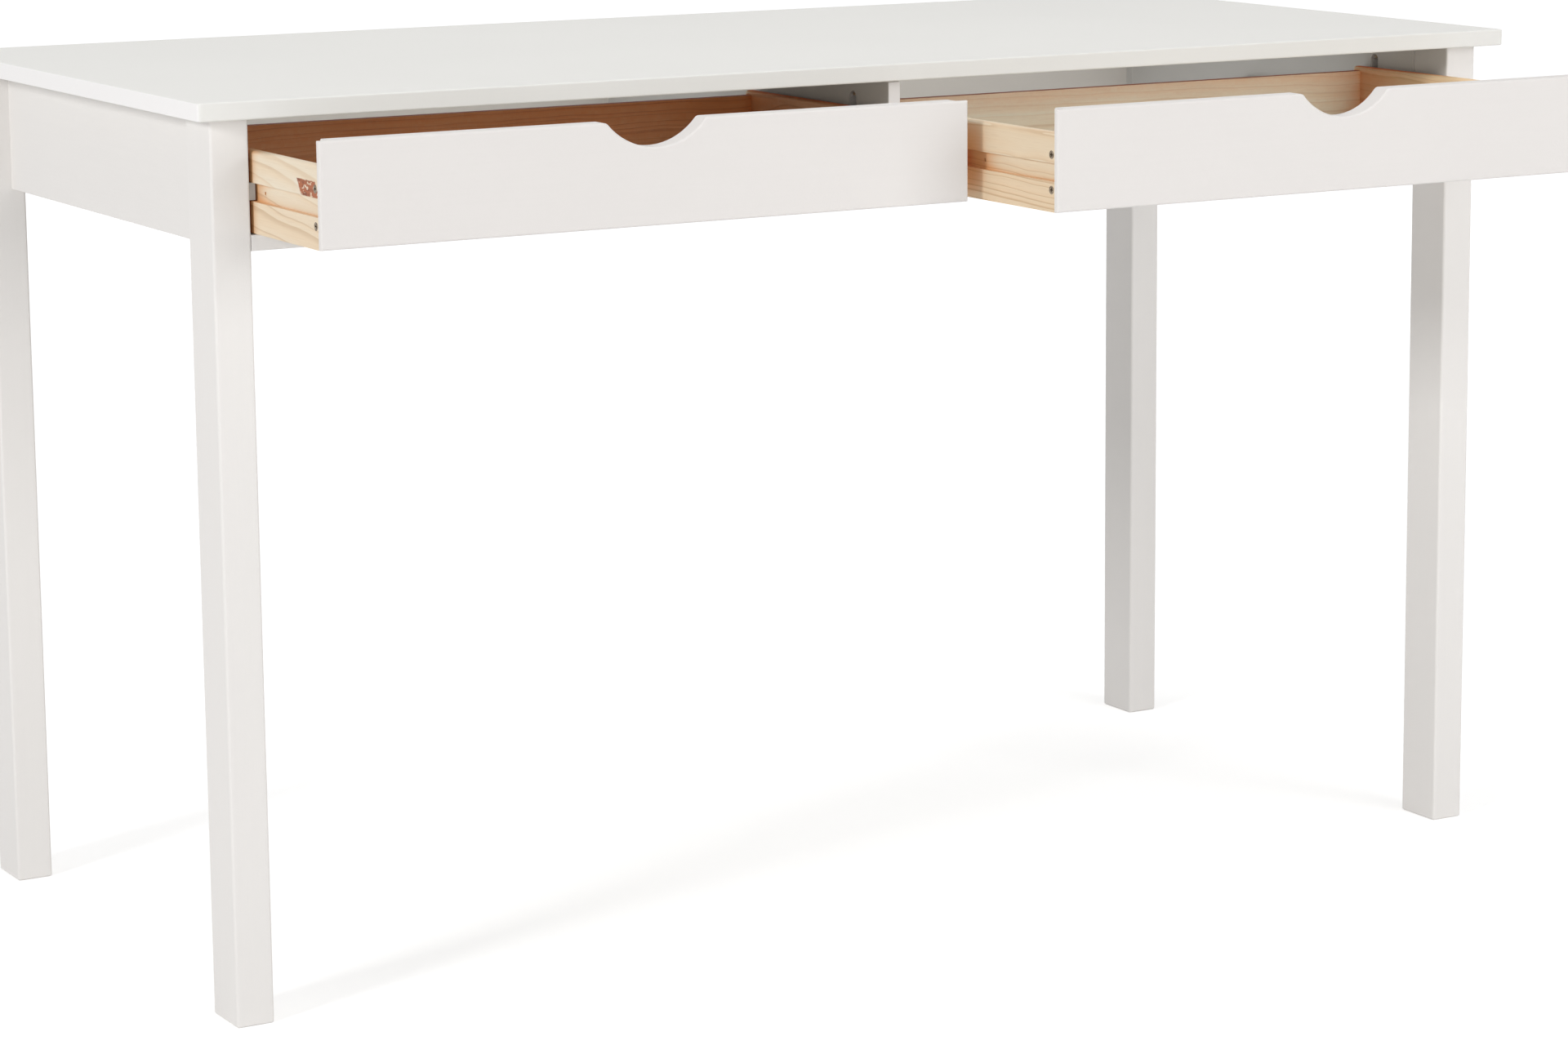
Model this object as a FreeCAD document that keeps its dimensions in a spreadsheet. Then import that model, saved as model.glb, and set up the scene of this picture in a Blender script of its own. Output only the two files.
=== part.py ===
import FreeCAD, Part
import os
import Sketcher

# Writing desk: a thin top on four legs, with two shallow drawers that hang on wooden runners.
# X runs along the desk, Y from front to back and Z up. The origin is on the floor, in the middle
# of the desk's outline with its drawers open as they rest. Lengths are in millimetres.

doc = FreeCAD.newDocument("Desk")

# Driving dimensions: alias, value, meaning
DIMENSIONS = [
    ("desk_height", "760", "floor to the top's surface"),
    ("top_width", "1300", "top, left to right"),
    ("top_depth", "600", "top, front to back"),
    ("top_thickness", "15", "top board"),
    ("top_corner_radius", "3", "upright corners of the top"),
    ("top_edge_radius", "1.5", "eased edges of the top"),
    ("side_overhang", "17", "top past the legs at each end"),
    ("front_overhang", "20", "top past the front legs"),
    ("rear_overhang", "12", "top past the rear legs"),
    ("leg_width", "33", "leg along the desk"),
    ("leg_depth", "50", "leg from front to back"),
    ("leg_edge_radius", "2.5", "eased upright edges of a leg"),
    ("foot_chamfer", "1.5", "chamfer round the foot of a leg"),
    ("board_thickness", "13", "aprons, back rail and front rail"),
    ("board_edge_radius", "1", "eased edges of the boards"),
    ("apron_height", "107", "aprons and back rail, under the top"),
    ("back_rail_setback", "12", "back rail behind the front of the rear legs"),
    ("divider_thickness", "12", "divider between the drawers"),
    ("divider_recess", "4", "divider behind the front of the legs"),
    ("divider_top_gap", "3", "divider under the top"),
    ("drawer_side_gap", "3", "drawer to leg, apron or divider"),
    ("drawer_floor_gap", "1", "drawer above the front rail"),
    ("drawer_rear_gap", "167", "closed drawer to the back rail"),
    ("drawer_left_opening", "130", "left drawer pulled out as it rests"),
    ("drawer_right_opening", "238", "right drawer pulled out as it rests"),
    ("front_top_gap", "8", "drawer front under the top"),
    ("front_thickness", "19", "drawer front"),
    ("front_edge_radius", "1.8", "eased edges of a drawer front"),
    ("lip_thickness", "4", "lip of a drawer front over the end of a side"),
    ("scoop_width", "90", "finger scoop at the top edge"),
    ("scoop_depth", "21.5", "finger scoop below the top edge"),
    ("scoop_lip_radius", "5", "round where the scoop meets the top edge"),
    ("side_thickness", "10", "drawer side"),
    ("side_drop", "19", "drawer side below the top edge of the front"),
    ("side_top_radius", "3", "rounded top of a drawer side"),
    ("groove_height", "15", "runner groove in a drawer side"),
    ("groove_depth", "5", "runner groove in a drawer side"),
    ("runner_rear_setback", "45", "rear end of a runner ahead of the closed drawer's back"),
    ("runner_top_clearance", "0.3", "runner under the top of the groove"),
    ("runner_bottom_clearance", "0.7", "runner above the bottom of the groove"),
    ("runner_side_clearance", "1.5", "runner to the floor of the groove"),
    ("runner_stop_gap", "1", "lip of the closed drawer to the end of the runner"),
    ("stop_hole_diameter", "3", "blind hole in the floor of the groove"),
    ("stop_hole_depth", "3", "blind hole in the floor of the groove"),
    ("stop_hole_setback", "118", "blind hole behind the face of the drawer"),
    ("back_thickness", "10", "drawer back"),
    ("back_drop", "4", "drawer back below the top of the sides"),
    ("panel_thickness", "3", "drawer bottom panel"),
    ("panel_offset", "8", "bottom panel above the bottom of the sides"),
    ("panel_groove_depth", "4", "groove that holds the bottom panel"),
    ("panel_clearance", "0.2", "bottom panel in its groove"),
    ("dowel_diameter", "6", "wooden dowel"),
    ("dowel_length", "30", "wooden dowel, half in the leg"),
    ("dowel_rise", "22", "lower apron dowel above the bottom of the apron"),
    ("dowel_drop", "15", "upper apron dowel below the top"),
    ("bolt_drop", "35", "apron bolt below the top"),
    ("back_joint_drop", "9", "back rail dowels and bolts below those of the aprons"),
    ("rail_dowel_inset", "12", "front rail dowels from the rail's edges"),
    ("bolt_diameter", "6", "connecting bolt"),
    ("bolt_in_leg", "15", "connecting bolt inside the leg"),
    ("cam_diameter", "12", "cam disc"),
    ("cam_depth", "10", "cam disc in the board"),
    ("cam_setback", "24", "cam disc from the end of the board"),
    ("pocket_width", "11", "milled pocket for a top screw"),
    ("pocket_height", "30", "milled pocket for a top screw"),
    ("pocket_depth", "8", "milled pocket for a top screw"),
    ("pocket_top_gap", "15", "milled pocket under the top"),
    ("pocket_setback", "60", "milled pocket from the end of a board"),
    ("top_screw_diameter", "4", "screw into the top"),
    ("top_screw_cover", "5.5", "wood left above the point of a top screw"),
    ("top_screw_head", "7", "head of a screw into the top"),
    ("top_screw_head_height", "2.5", "head of a screw into the top"),
    ("top_screw_head_gap", "0.2", "head of a top screw to the arch of its pocket"),
    ("screw_diameter", "3.5", "countersunk screw"),
    ("screw_head", "7", "countersunk head"),
    ("recess_length", "4", "each arm of the cross recess in a head"),
    ("recess_width", "1", "each arm of the cross recess in a head"),
    ("recess_depth", "1.5", "cross recess in a head"),
    ("runner_screw_length", "15", "screw through a runner"),
    ("runner_screw_inset", "30", "runner screw from the end of a runner"),
    ("runner_screw_stagger", "20", "shift between the screws of the two divider runners"),
    ("drawer_screw_length", "28", "screw through a drawer side"),
    ("drawer_screw_rise", "7", "upper drawer screw above the runner groove"),
    ("front_screw_gap", "4.5", "drawer screw behind the lip of the front"),
    ("divider_screw_length", "36", "screw into the divider"),
    ("divider_screw_low", "30", "divider screw above the bottom of the divider"),
    ("divider_screw_high", "70", "divider screw above the bottom of the divider"),
    ("divider_screw_inset", "14", "divider screw from the edges of the front rail"),
    ("nail_diameter", "1.6", "nail through the bottom panel"),
    ("nail_head", "3.2", "head of a panel nail"),
    ("nail_head_thickness", "0.8", "head of a panel nail"),
    ("nail_length", "18", "nail through the bottom panel"),
    ("nail_inset", "60", "outer nails from the ends of the drawer back"),
]

sheet = doc.addObject("Spreadsheet::Sheet", "Sizes")
for row, (alias, number, meaning) in enumerate(DIMENSIONS, start=1):
    sheet.set("A%d" % row, meaning)
    sheet.set("B%d" % row, number)
    sheet.setAlias("B%d" % row, alias)
doc.recompute()

AXES = {
    "+X": FreeCAD.Vector(1, 0, 0),
    "-X": FreeCAD.Vector(-1, 0, 0),
    "+Y": FreeCAD.Vector(0, 1, 0),
    "-Y": FreeCAD.Vector(0, -1, 0),
    "+Z": FreeCAD.Vector(0, 0, 1),
}
nodes = []

# Lengths and directions closer than this are taken as equal
NEAR = 1e-4

# Expressions for the main planes of the carcass
UNDERSIDE = "(Sizes.desk_height - Sizes.top_thickness)"
APRON_BOTTOM = f"({UNDERSIDE} - Sizes.apron_height)"
LEG_OUT = "(Sizes.top_width / 2 - Sizes.side_overhang)"
LEG_IN = f"({LEG_OUT} - Sizes.leg_width)"
APRON_OUT = f"({LEG_IN} + Sizes.board_thickness)"
TOP_FRONT = "((Sizes.drawer_right_opening - Sizes.front_overhang - Sizes.top_depth) / 2)"
LEG_FRONT = f"({TOP_FRONT} + Sizes.front_overhang)"
APRON_FRONT = f"({LEG_FRONT} + Sizes.leg_depth)"
REAR_LEG = f"({TOP_FRONT} + Sizes.top_depth - Sizes.rear_overhang - Sizes.leg_depth)"
BACK_IN = f"({REAR_LEG} + Sizes.back_rail_setback)"
BACK_OUT = f"({BACK_IN} + Sizes.board_thickness)"
RAIL_TOP = f"({APRON_BOTTOM} + Sizes.board_thickness)"
DIVIDER_FRONT = f"({LEG_FRONT} + Sizes.divider_recess)"
DIVIDER_FACE = "(Sizes.divider_thickness / 2)"

# Expressions for the drawers, which are alike
DRAWER_BOTTOM = f"({RAIL_TOP} + Sizes.drawer_floor_gap)"
DRAWER_WIDTH = f"({LEG_IN} - {DIVIDER_FACE} - 2 * Sizes.drawer_side_gap)"
DRAWER_DEPTH = f"({BACK_IN} - {LEG_FRONT} - Sizes.drawer_rear_gap)"
FRONT_HEIGHT = f"({UNDERSIDE} - Sizes.front_top_gap - {DRAWER_BOTTOM})"
SIDE_HEIGHT = f"({FRONT_HEIGHT} - Sizes.side_drop)"
GROOVE_BOTTOM = f"(({SIDE_HEIGHT} - Sizes.groove_height) / 2)"
GROOVE_TOP = f"({GROOVE_BOTTOM} + Sizes.groove_height)"
RUNNER_WIDTH = "(Sizes.drawer_side_gap + Sizes.groove_depth - Sizes.runner_side_clearance)"
RUNNER_HEIGHT = "(Sizes.groove_height - Sizes.runner_top_clearance - Sizes.runner_bottom_clearance)"
RUNNER_BOTTOM = f"({DRAWER_BOTTOM} + {GROOVE_BOTTOM} + Sizes.runner_bottom_clearance)"
RUNNER_FRONT = f"({LEG_FRONT} + Sizes.lip_thickness + Sizes.runner_stop_gap)"
RUNNER_END = f"({LEG_FRONT} + {DRAWER_DEPTH} - Sizes.runner_rear_setback)"
RUNNER_LENGTH = f"({RUNNER_END} - {RUNNER_FRONT})"
PANEL_TOP = "(Sizes.panel_offset + Sizes.panel_thickness + Sizes.panel_clearance)"
SCOOP_RADIUS = "((Sizes.scoop_width ^ 2 / 4 + Sizes.scoop_depth ^ 2) / (2 * Sizes.scoop_depth))"


def number_of(expression):
    """Value of an expression with the sheet's present numbers."""
    return float(sheet.evalExpression(str(expression)))


def bind(thing, **expressions):
    """Ties properties to expressions; x, y and z are the place."""
    for name, expression in expressions.items():
        path = f"Placement.Base.{name}" if name in "xyz" else name
        thing.setExpression(path, str(expression))
    return thing


def plane_of(body, role):
    """One of the body's own origin planes."""
    return [feature for feature in body.Origin.OriginFeatures if feature.Role == role][0]


def new_sketch(body, role):
    """Empty sketch on an origin plane of the body."""
    sketch = body.newObject("Sketcher::SketchObject", body.Name + "_sketch")
    sketch.AttachmentSupport = [(plane_of(body, role), "")]
    sketch.MapMode = "FlatFace"
    return sketch


def tie_point(sketch, geometry, point, x, y):
    """Holds a point of the sketch at two expressions measured from its origin."""
    for axis, expression in (("X", x), ("Y", y)):
        constraint = Sketcher.Constraint(
            "Distance" + axis, -1, 1, geometry, point, number_of(expression))
        index = sketch.addConstraint(constraint)
        name = f"at{axis}{geometry}"
        sketch.renameConstraint(index, name)
        sketch.setExpression("Constraints." + name, str(expression))


def padded_body(name, role, corners, length, reverse=False):
    """Body padded from a closed outline, whose corners are pairs of expressions."""
    body = doc.addObject("PartDesign::Body", name)
    sketch = new_sketch(body, role)
    points = [FreeCAD.Vector(number_of(x), number_of(y), 0) for x, y in corners]
    count = len(points)
    for i in range(count):
        sketch.addGeometry(Part.LineSegment(points[i], points[(i + 1) % count]))
    for i in range(count):
        sketch.addConstraint(Sketcher.Constraint("Coincident", i, 2, (i + 1) % count, 1))
    for i, (x, y) in enumerate(corners):
        tie_point(sketch, i, 1, x, y)
    pad = body.newObject("PartDesign::Pad", name + "_pad")
    pad.Profile = sketch
    pad.Reversed = reverse
    bind(pad, Length=length)
    doc.recompute()
    return body


def rectangle(width, depth):
    """Corners of a rectangle that starts at the sketch's origin."""
    return [("0", "0"), (width, "0"), (width, depth), ("0", depth)]


def ease(body, kind, size, choose):
    """Fillet or Chamfer on the edges of the body's tip that the test accepts."""
    tip = body.Tip
    edges = tip.Shape.Edges
    names = [f"Edge{i + 1}" for i, edge in enumerate(edges) if choose(edge)]
    if not names:
        raise RuntimeError(f"{body.Name} has no edge to ease")
    feature = body.newObject("PartDesign::" + kind, f"{body.Name}_{kind.lower()}")
    feature.Base = (tip, names)
    bind(feature, **{"Radius" if kind == "Fillet" else "Size": size})
    doc.recompute()
    return body


def runs_along(axis):
    """Test for straight edges along one axis."""
    def test(edge):
        if edge.Curve.TypeId != "Part::GeomLine":
            return False
        return abs(abs(edge.Curve.Direction.dot(AXES[axis])) - 1) < NEAR
    return test


def lies_at(axis, place):
    """Test for edges that lie wholly in the plane across an axis at a place."""
    def test(edge):
        limits = edge.BoundBox
        low, high = {"x": (limits.XMin, limits.XMax), "y": (limits.YMin, limits.YMax),
                     "z": (limits.ZMin, limits.ZMax)}[axis]
        return abs(low - place) < NEAR and abs(high - place) < NEAR
    return test


def box(name, x, y, z, width, depth, height):
    """Board or cutter with square edges."""
    thing = doc.addObject("Part::Box", name)
    return bind(thing, Length=width, Width=depth, Height=height, x=x, y=y, z=z)


def slot(name, axis, x, y, z, first, second, depth):
    """Box that runs along an axis from the middle of a face; first and second are its sizes across."""
    low = {"X": x, "Y": y, "Z": z}
    across = [letter for letter in "XYZ" if letter != axis[1]]
    span = {across[0]: first, across[1]: second, axis[1]: depth}
    for letter in across:
        low[letter] = f"({low[letter]} - {span[letter]} / 2)"
    if axis[0] == "-":
        low[axis[1]] = f"({low[axis[1]]} - {depth})"
    return box(name, low["X"], low["Y"], low["Z"], span["X"], span["Y"], span["Z"])


def cylinder(name, axis, x, y, z, diameter, length):
    """Round pin or cutter that starts at a place and runs along an axis."""
    thing = doc.addObject("Part::Cylinder", name)
    thing.Placement.Rotation = FreeCAD.Rotation(AXES["+Z"], AXES[axis])
    return bind(thing, Radius=f"{diameter} / 2", Height=length, x=x, y=y, z=z)


def cone(name, axis, x, y, z, start, end):
    """Countersunk head, from its face inwards, with sides at 45 degrees."""
    thing = doc.addObject("Part::Cone", name)
    thing.Placement.Rotation = FreeCAD.Rotation(AXES["+Z"], AXES[axis])
    return bind(thing, Radius1=f"{start} / 2", Radius2=f"{end} / 2",
                Height=f"({start} - {end}) / 2", x=x, y=y, z=z)


def along(axis, x, y, z, distance):
    """Place moved along an axis."""
    sign = axis[0]
    moved = {"X": x, "Y": y, "Z": z}
    moved[axis[1]] = f"({moved[axis[1]]} {sign} ({distance}))"
    return moved["X"], moved["Y"], moved["Z"]


def fuse(name, first, second):
    """Two solids made one."""
    thing = doc.addObject("Part::Fuse", name)
    thing.Base = first
    thing.Tool = second
    return thing


def group(name, things):
    """Separate solids kept together."""
    thing = doc.addObject("Part::Compound", name)
    thing.Links = things
    return thing


def cut(name, base, tools):
    """Base with each tool taken away in turn."""
    for step, tool in enumerate(tools):
        thing = doc.addObject("Part::Cut", f"{name}_cut{step}")
        thing.Base = base
        thing.Tool = tool
        base = thing
    return base


def node(name, thing):
    """Marks a finished piece."""
    thing.Label = name
    nodes.append(thing)
    return thing


ARM = ("Sizes.recess_length", "Sizes.recess_width")


def screw_group(name, places, length):
    """Countersunk screws, each an axis and the middle of its face. Gives the plain solids too."""
    solids = []
    recesses = []
    for i, (axis, x, y, z) in enumerate(places):
        shank = cylinder(f"{name}_shank{i}", axis, x, y, z, "Sizes.screw_diameter", length)
        head = cone(f"{name}_head{i}", axis, x, y, z, "Sizes.screw_head", "Sizes.screw_diameter")
        solids.append(fuse(f"{name}_screw{i}", head, shank))
        arms = [slot(f"{name}_arm{i}_{first[6:]}", axis, x, y, z, first, second, "Sizes.recess_depth")
                for first, second in (ARM, ARM[::-1])]
        recesses.append(fuse(f"{name}_recess{i}", *arms))
    plain = group(name + "_plain", solids)
    finished = cut(name, plain, [group(name + "_recesses", recesses)])
    node(name, finished)
    return plain


def pin_group(name, places, diameter, length):
    """Round pins, each an axis and a starting place."""
    pins = [cylinder(f"{name}_pin{i}", axis, x, y, z, diameter, length)
            for i, (axis, x, y, z) in enumerate(places)]
    return group(name, pins)


def headed_group(name, places, diameter, length, head, head_height):
    """Pins with a flat head behind their starting place."""
    solids = []
    for i, (axis, x, y, z) in enumerate(places):
        start = along(axis, x, y, z, f"-{head_height}")
        shank = cylinder(f"{name}_shank{i}", axis, x, y, z, diameter, length)
        solids.append(fuse(f"{name}_solid{i}",
                           cylinder(f"{name}_head{i}", axis, *start, head, head_height), shank))
    return group(name, solids)


# Joints between the legs and the boards: side -1 is left and +1 is right
SIDES = (("left", -1), ("right", 1))
BOARD_MIDDLE = f"({LEG_IN} + Sizes.board_thickness / 2)"
BACK_MIDDLE = f"({BACK_IN} + Sizes.board_thickness / 2)"
RAIL_MIDDLE = f"({APRON_BOTTOM} + Sizes.board_thickness / 2)"
RAIL_CENTRE = f"({LEG_FRONT} + Sizes.leg_depth / 2)"
RAIL_DOWELS = (f"({LEG_FRONT} + Sizes.rail_dowel_inset)",
               f"({APRON_FRONT} - Sizes.rail_dowel_inset)")
DOWEL_HEIGHTS = (f"({APRON_BOTTOM} + Sizes.dowel_rise)", f"({UNDERSIDE} - Sizes.dowel_drop)")
BOLT_HEIGHT = f"({UNDERSIDE} - Sizes.bolt_drop)"

dowel_places = []
bolt_places = []
cam_places = []
for word, side in SIDES:
    inward = "+X" if side < 0 else "-X"
    outward = "-X" if side < 0 else "+X"
    apron_x = f"{side} * {BOARD_MIDDLE}"
    cam_x = f"{side} * {LEG_IN}"
    for axis, joint, into in (("+Y", APRON_FRONT, "+"), ("-Y", REAR_LEG, "-")):
        start = along(axis, apron_x, joint, "0", "-Sizes.dowel_length / 2")
        dowel_places.extend((axis, start[0], start[1], z) for z in DOWEL_HEIGHTS)
        bolt_places.append((axis, *along(axis, apron_x, joint, BOLT_HEIGHT, "-Sizes.bolt_in_leg")))
        cam_places.append((outward, cam_x, f"({joint} {into} Sizes.cam_setback)", BOLT_HEIGHT))
    dowel_x = along(inward, cam_x, "0", "0", "-Sizes.dowel_length / 2")[0]
    bolt_x = along(inward, cam_x, "0", "0", "-Sizes.bolt_in_leg")[0]
    disc_x = along(inward, cam_x, "0", "0", "Sizes.cam_setback")[0]
    dowel_places.extend((inward, dowel_x, BACK_MIDDLE, f"({z} - Sizes.back_joint_drop)")
                        for z in DOWEL_HEIGHTS)
    back_bolt_z = f"({BOLT_HEIGHT} - Sizes.back_joint_drop)"
    bolt_places.append((inward, bolt_x, BACK_MIDDLE, back_bolt_z))
    cam_places.append(("+Y", disc_x, BACK_IN, back_bolt_z))
    dowel_places.extend((inward, dowel_x, y, RAIL_MIDDLE) for y in RAIL_DOWELS)
    bolt_places.append((inward, bolt_x, RAIL_CENTRE, RAIL_MIDDLE))
    cam_places.append(("+Z", disc_x, RAIL_CENTRE, APRON_BOTTOM))

dowels = node("rail_dowels", pin_group("rail_dowels", dowel_places, "Sizes.dowel_diameter",
                                       "Sizes.dowel_length"))
bolts = node("cam_bolts", pin_group("cam_bolts", bolt_places, "Sizes.bolt_diameter",
                                    "(Sizes.bolt_in_leg + Sizes.cam_setback)"))
cams = pin_group("cam_plain", cam_places, "Sizes.cam_diameter", "Sizes.cam_depth")
node("cam_discs", cut("cam_discs", cams, [bolts]))
joint_tools = [dowels, bolts, cams]

# Milled pockets and the screws that pull the top down from them
POCKET_TOP = f"({UNDERSIDE} - Sizes.pocket_top_gap)"
POCKET_ARCH = f"({POCKET_TOP} - Sizes.pocket_width / 2)"
SHAFT_HEIGHT = "(Sizes.pocket_height - Sizes.pocket_width / 2)"
POCKET_MIDDLE = f"({POCKET_ARCH} - {SHAFT_HEIGHT} / 2)"
HEAD_REACH = "(Sizes.top_screw_head / 2 + Sizes.top_screw_head_gap)"
SCREW_SEAT = f"({POCKET_ARCH} + sqrt((Sizes.pocket_width / 2) ^ 2 - {HEAD_REACH} ^ 2))"
TOP_SCREW_LENGTH = f"(Sizes.desk_height - Sizes.top_screw_cover - {SCREW_SEAT})"

pocket_places = []
for word, side in SIDES:
    outward = "-X" if side < 0 else "+X"
    for y in (f"({APRON_FRONT} + Sizes.pocket_setback)", f"({REAR_LEG} - Sizes.pocket_setback)"):
        pocket_places.append((outward, f"{side} * {LEG_IN}", y))
    pocket_places.append(("+Y", f"{side} * {LEG_IN} / 2", BACK_IN))
for y in (f"({DIVIDER_FRONT} + Sizes.pocket_setback)", f"({BACK_IN} - Sizes.pocket_setback)"):
    pocket_places.append(("+X", f"-{DIVIDER_FACE}", y))

pocket_cutters = []
top_screw_places = []
for i, (axis, x, y) in enumerate(pocket_places):
    arch = cylinder(f"pocket_arch{i}", axis, x, y, POCKET_ARCH, "Sizes.pocket_width",
                    "Sizes.pocket_depth")
    shaft = slot(f"pocket_shaft{i}", axis, x, y, POCKET_MIDDLE, "Sizes.pocket_width", SHAFT_HEIGHT,
                 "Sizes.pocket_depth")
    pocket_cutters.append(fuse(f"pocket{i}", shaft, arch))
    top_screw_places.append(("+Z", *along(axis, x, y, SCREW_SEAT, "Sizes.pocket_depth / 2")))
pockets = group("pockets", pocket_cutters)
top_screws = node("top_screws", headed_group(
    "top_screws", top_screw_places, "Sizes.top_screw_diameter", TOP_SCREW_LENGTH,
    "Sizes.top_screw_head", "Sizes.top_screw_head_height"))

# Runners: which face each stands on, the way its drawer lies, and how far its screws are shifted
RUNNERS = (
    ("left_apron_runner", f"(-{LEG_IN})", "+X", "0"),
    ("left_divider_runner", f"(-{DIVIDER_FACE})", "-X", "0"),
    ("right_divider_runner", DIVIDER_FACE, "+X", "Sizes.runner_screw_stagger"),
    ("right_apron_runner", LEG_IN, "-X", "0"),
)
RUNNER_MIDDLE = f"({RUNNER_BOTTOM} + {RUNNER_HEIGHT} / 2)"
runner_screw_places = []
for name, face, axis, shift in RUNNERS:
    head_x = along(axis, face, "0", "0", RUNNER_WIDTH)[0]
    into_board = "-X" if axis == "+X" else "+X"
    first = f"({RUNNER_FRONT} + Sizes.runner_screw_inset + {shift})"
    middle = f"(({RUNNER_FRONT} + {RUNNER_END}) / 2 + {shift})"
    last = f"({RUNNER_END} - 2 * Sizes.runner_screw_inset + {shift})"
    for y in (first, middle, last):
        runner_screw_places.append((into_board, head_x, y, RUNNER_MIDDLE))
runner_screws = screw_group("runner_screws", runner_screw_places, "Sizes.runner_screw_length")
for name, face, axis, shift in RUNNERS:
    low_x = face if axis == "+X" else f"({face} - {RUNNER_WIDTH})"
    strip = box(name + "_strip", low_x, RUNNER_FRONT, RUNNER_BOTTOM, RUNNER_WIDTH, RUNNER_LENGTH,
                RUNNER_HEIGHT)
    node(name, cut(name, strip, [runner_screws]))

# Screws that hold the divider: two through the back rail and two through the front rail
divider_screw_places = [
    ("-Y", "0", BACK_OUT, f"({RAIL_TOP} + Sizes.divider_screw_low)"),
    ("-Y", "0", BACK_OUT, f"({RAIL_TOP} + Sizes.divider_screw_high)"),
    ("+Z", "0", f"({LEG_FRONT} + Sizes.divider_screw_inset)", APRON_BOTTOM),
    ("+Z", "0", f"({APRON_FRONT} - Sizes.divider_screw_inset)", APRON_BOTTOM),
]
divider_screws = screw_group("divider_screws", divider_screw_places, "Sizes.divider_screw_length")

# Top
top = padded_body("top_board", "XY_Plane", rectangle("Sizes.top_width", "Sizes.top_depth"),
                  "Sizes.top_thickness")
ease(top, "Fillet", "Sizes.top_corner_radius", runs_along("+Z"))
faces = (lies_at("z", 0), lies_at("z", number_of("Sizes.top_thickness")))
ease(top, "Fillet", "Sizes.top_edge_radius", lambda edge: any(test(edge) for test in faces))
bind(top, x="-Sizes.top_width / 2", y=TOP_FRONT, z=UNDERSIDE)
node("table_top", cut("table_top", top, [top_screws]))

# Legs
for depth_word, y, screws in (("front", LEG_FRONT, [runner_screws]), ("rear", REAR_LEG, [])):
    for word, side in SIDES:
        name = f"{depth_word}_{word}_leg"
        leg = padded_body(name + "_post", "XY_Plane", rectangle("Sizes.leg_width", "Sizes.leg_depth"),
                          UNDERSIDE)
        ease(leg, "Fillet", "Sizes.leg_edge_radius", runs_along("+Z"))
        ease(leg, "Chamfer", "Sizes.foot_chamfer", lies_at("z", 0))
        bind(leg, x=f"(-{LEG_OUT})" if side < 0 else LEG_IN, y=y, z="0")
        node(name, cut(name, leg, joint_tools + screws))

# Aprons, flush with the inner faces of the legs
for word, side in SIDES:
    name = f"{word}_apron"
    apron = padded_body(name + "_board", "XY_Plane",
                        rectangle("Sizes.board_thickness", f"({REAR_LEG} - {APRON_FRONT})"),
                        "Sizes.apron_height")
    ease(apron, "Fillet", "Sizes.board_edge_radius",
         lambda edge: lies_at("z", 0)(edge) and runs_along("+Y")(edge))
    bind(apron, x=f"(-{APRON_OUT})" if side < 0 else LEG_IN, y=APRON_FRONT, z=APRON_BOTTOM)
    node(name, cut(name, apron, joint_tools + [pockets, top_screws, runner_screws]))

# Back rail, front rail and divider
back = padded_body("back_rail_board", "XY_Plane", rectangle(f"(2 * {LEG_IN})", "Sizes.board_thickness"),
                   "Sizes.apron_height")
ease(back, "Fillet", "Sizes.board_edge_radius",
     lambda edge: lies_at("z", 0)(edge) and runs_along("+X")(edge))
bind(back, x=f"(-{LEG_IN})", y=BACK_IN, z=APRON_BOTTOM)
node("back_rail", cut("back_rail", back, joint_tools + [pockets, top_screws, divider_screws]))

rail = padded_body("front_rail_board", "XY_Plane", rectangle(f"(2 * {LEG_IN})", "Sizes.leg_depth"),
                   "Sizes.board_thickness")
ease(rail, "Fillet", "Sizes.board_edge_radius", runs_along("+X"))
bind(rail, x=f"(-{LEG_IN})", y=LEG_FRONT, z=APRON_BOTTOM)
node("front_rail", cut("front_rail", rail, joint_tools + [divider_screws]))

divider = padded_body("divider_board", "XY_Plane",
                      rectangle("Sizes.divider_thickness", f"({BACK_IN} - {DIVIDER_FRONT})"),
                      f"({UNDERSIDE} - Sizes.divider_top_gap - {RAIL_TOP})")
ease(divider, "Fillet", "Sizes.board_edge_radius",
     lambda edge: lies_at("y", 0)(edge) and runs_along("+Z")(edge))
bind(divider, x=f"(-{DIVIDER_FACE})", y=DIVIDER_FRONT, z=RAIL_TOP)
node("centre_divider", cut("centre_divider", divider,
                           [pockets, top_screws, runner_screws, divider_screws]))


def side_profile(outer_left):
    """Section of a drawer side, with the runner groove outside and the panel groove inside."""
    thick = "Sizes.side_thickness"
    panel_low = "(Sizes.panel_offset - Sizes.panel_clearance)"
    panel_floor = f"({thick} - Sizes.panel_groove_depth)"
    corners = [
        ("0", "0"), (thick, "0"),
        (thick, panel_low), (panel_floor, panel_low),
        (panel_floor, PANEL_TOP), (thick, PANEL_TOP),
        (thick, SIDE_HEIGHT), ("0", SIDE_HEIGHT),
        ("0", GROOVE_TOP), ("Sizes.groove_depth", GROOVE_TOP),
        ("Sizes.groove_depth", GROOVE_BOTTOM), ("0", GROOVE_BOTTOM),
    ]
    if outer_left:
        return corners
    return [(f"({thick} - {x})", z) for x, z in reversed(corners)]


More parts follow.
